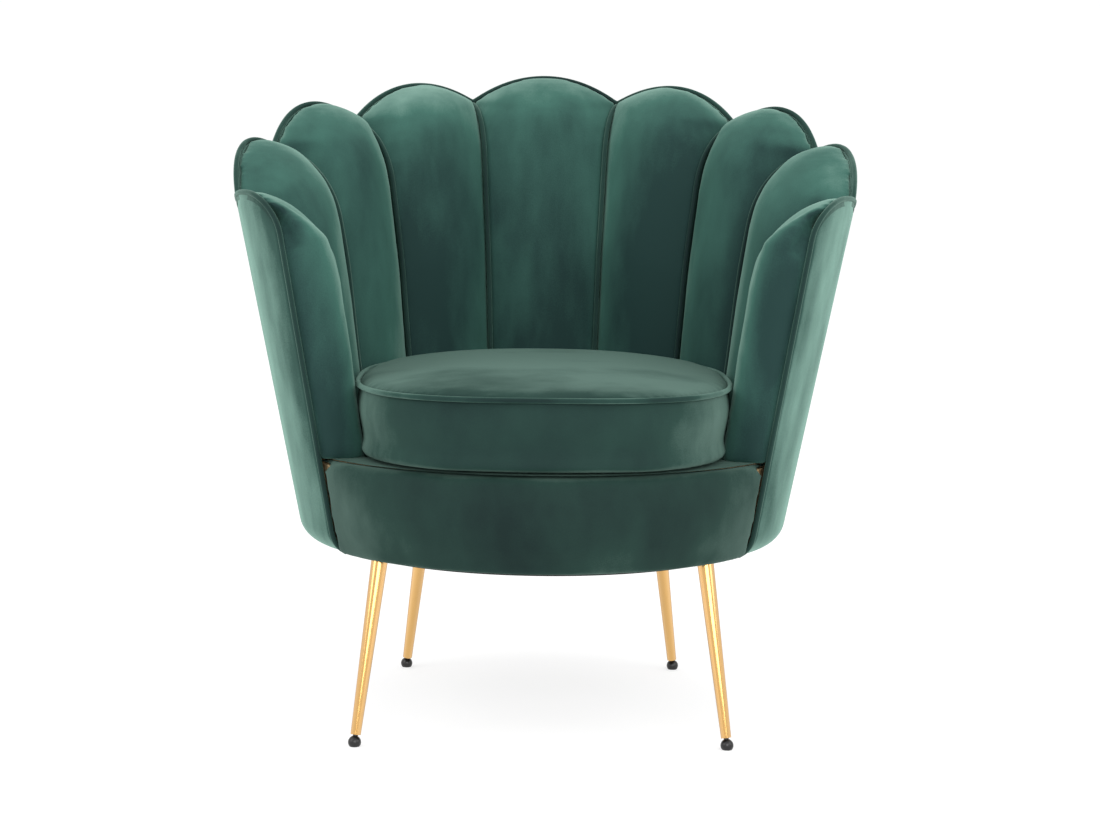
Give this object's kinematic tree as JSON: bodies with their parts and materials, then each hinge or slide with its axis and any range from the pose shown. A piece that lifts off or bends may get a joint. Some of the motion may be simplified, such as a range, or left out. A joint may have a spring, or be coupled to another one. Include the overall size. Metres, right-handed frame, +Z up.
{
  "type": "scallop back chair",
  "caption": "Low upholstered tub chair in dark green velvet: piped petal-shaped back and arms, a loose piped seat cushion and slender splayed gold legs.",
  "frame": {"origin": "on the floor, at the middle of the chair's overall box seen from above", "axes": "+Z up, -Y towards the chair's front, +X to the right as seen from the front"},
  "size_m": [0.7788, 0.7171, 0.7908],
  "materials": {
    "foam": "open-cell seating foam",
    "velvet": "short-pile velvet",
    "panel_velvet": "short-pile velvet over wadding",
    "piping": "velvet-covered cord",
    "plywood": "raw plywood",
    "timber": "sawn softwood",
    "steel": "zinc plated",
    "clip_plastic": "moulded",
    "deck_felt": "pressed felt",
    "dust_cloth": "spun cloth",
    "gold_leg": "polished gold plating on steel tube",
    "glide_plastic": "moulded, satin"
  },
  "bodies": {
    "frame": {"petal_pad_1": "foam", "petal_pad_2": "foam", "petal_pad_3": "foam", "petal_pad_4": "foam", "petal_pad_5": "foam", "petal_pad_6": "foam", "petal_pad_7": "foam", "petal_pad_8": "foam", "petal_pad_9": "foam", "front_rail_pad": "foam", "petal_cover_1": "velvet", "petal_cover_2": "velvet", "petal_cover_3": "velvet", "petal_cover_4": "velvet", "petal_cover_5": "velvet", "petal_cover_6": "velvet", "petal_cover_7": "velvet", "petal_cover_8": "velvet", "petal_cover_9": "velvet", "front_rail_cover": "velvet", "back_panel_1": "panel_velvet", "back_panel_2": "panel_velvet", "back_panel_3": "panel_velvet", "back_panel_4": "panel_velvet", "back_panel_5": "panel_velvet", "back_panel_6": "panel_velvet", "back_panel_7": "panel_velvet", "back_panel_8": "panel_velvet", "back_panel_9": "panel_velvet", "seam_piping_1": "piping", "seam_piping_2": "piping", "seam_piping_3": "piping", "seam_piping_4": "piping", "seam_piping_5": "piping", "seam_piping_6": "piping", "seam_piping_7": "piping", "seam_piping_8": "piping", "rim_piping": "piping", "back_shell": "plywood", "base_board": "plywood", "seat_board": "plywood", "front_rail_board": "plywood", "frame_blocks": "timber", "leg_plates": "steel", "leg_plate_screws": "steel", "seat_springs": "steel", "spring_clips": "clip_plastic", "seat_deck": "deck_felt", "dust_cover": "dust_cloth", "leg_front_left": "gold_leg", "leg_front_right": "gold_leg", "leg_rear_left": "gold_leg", "leg_rear_right": "gold_leg"},
    "seat_cushion": {"cushion_foam": "foam", "cushion_cover": "velvet", "cushion_piping": "piping"},
    "glide_front_left": {"glide_front_left": "glide_plastic"},
    "glide_front_right": {"glide_front_right": "glide_plastic"},
    "glide_rear_left": {"glide_rear_left": "glide_plastic"},
    "glide_rear_right": {"glide_rear_right": "glide_plastic"}
  },
  "joints": [
    {"name": "cushion_lift", "type": "slide", "parent": "frame", "child": "seat_cushion", "axis": [0, 0, 1], "range_m": [0, 0.35]},
    {"name": "level_front_left", "type": "slide", "parent": "frame", "child": "glide_front_left", "axis": [-0.1203, -0.2087, -0.9706], "range_m": [0, 0.008]},
    {"name": "level_front_right", "type": "slide", "parent": "frame", "child": "glide_front_right", "axis": [0.1203, -0.2087, -0.9706], "range_m": [0, 0.008]},
    {"name": "level_rear_left", "type": "slide", "parent": "frame", "child": "glide_rear_left", "axis": [-0.1219, 0.1376, -0.983], "range_m": [0, 0.008]},
    {"name": "level_rear_right", "type": "slide", "parent": "frame", "child": "glide_rear_right", "axis": [0.1219, 0.1376, -0.983], "range_m": [0, 0.008]}
  ]
}
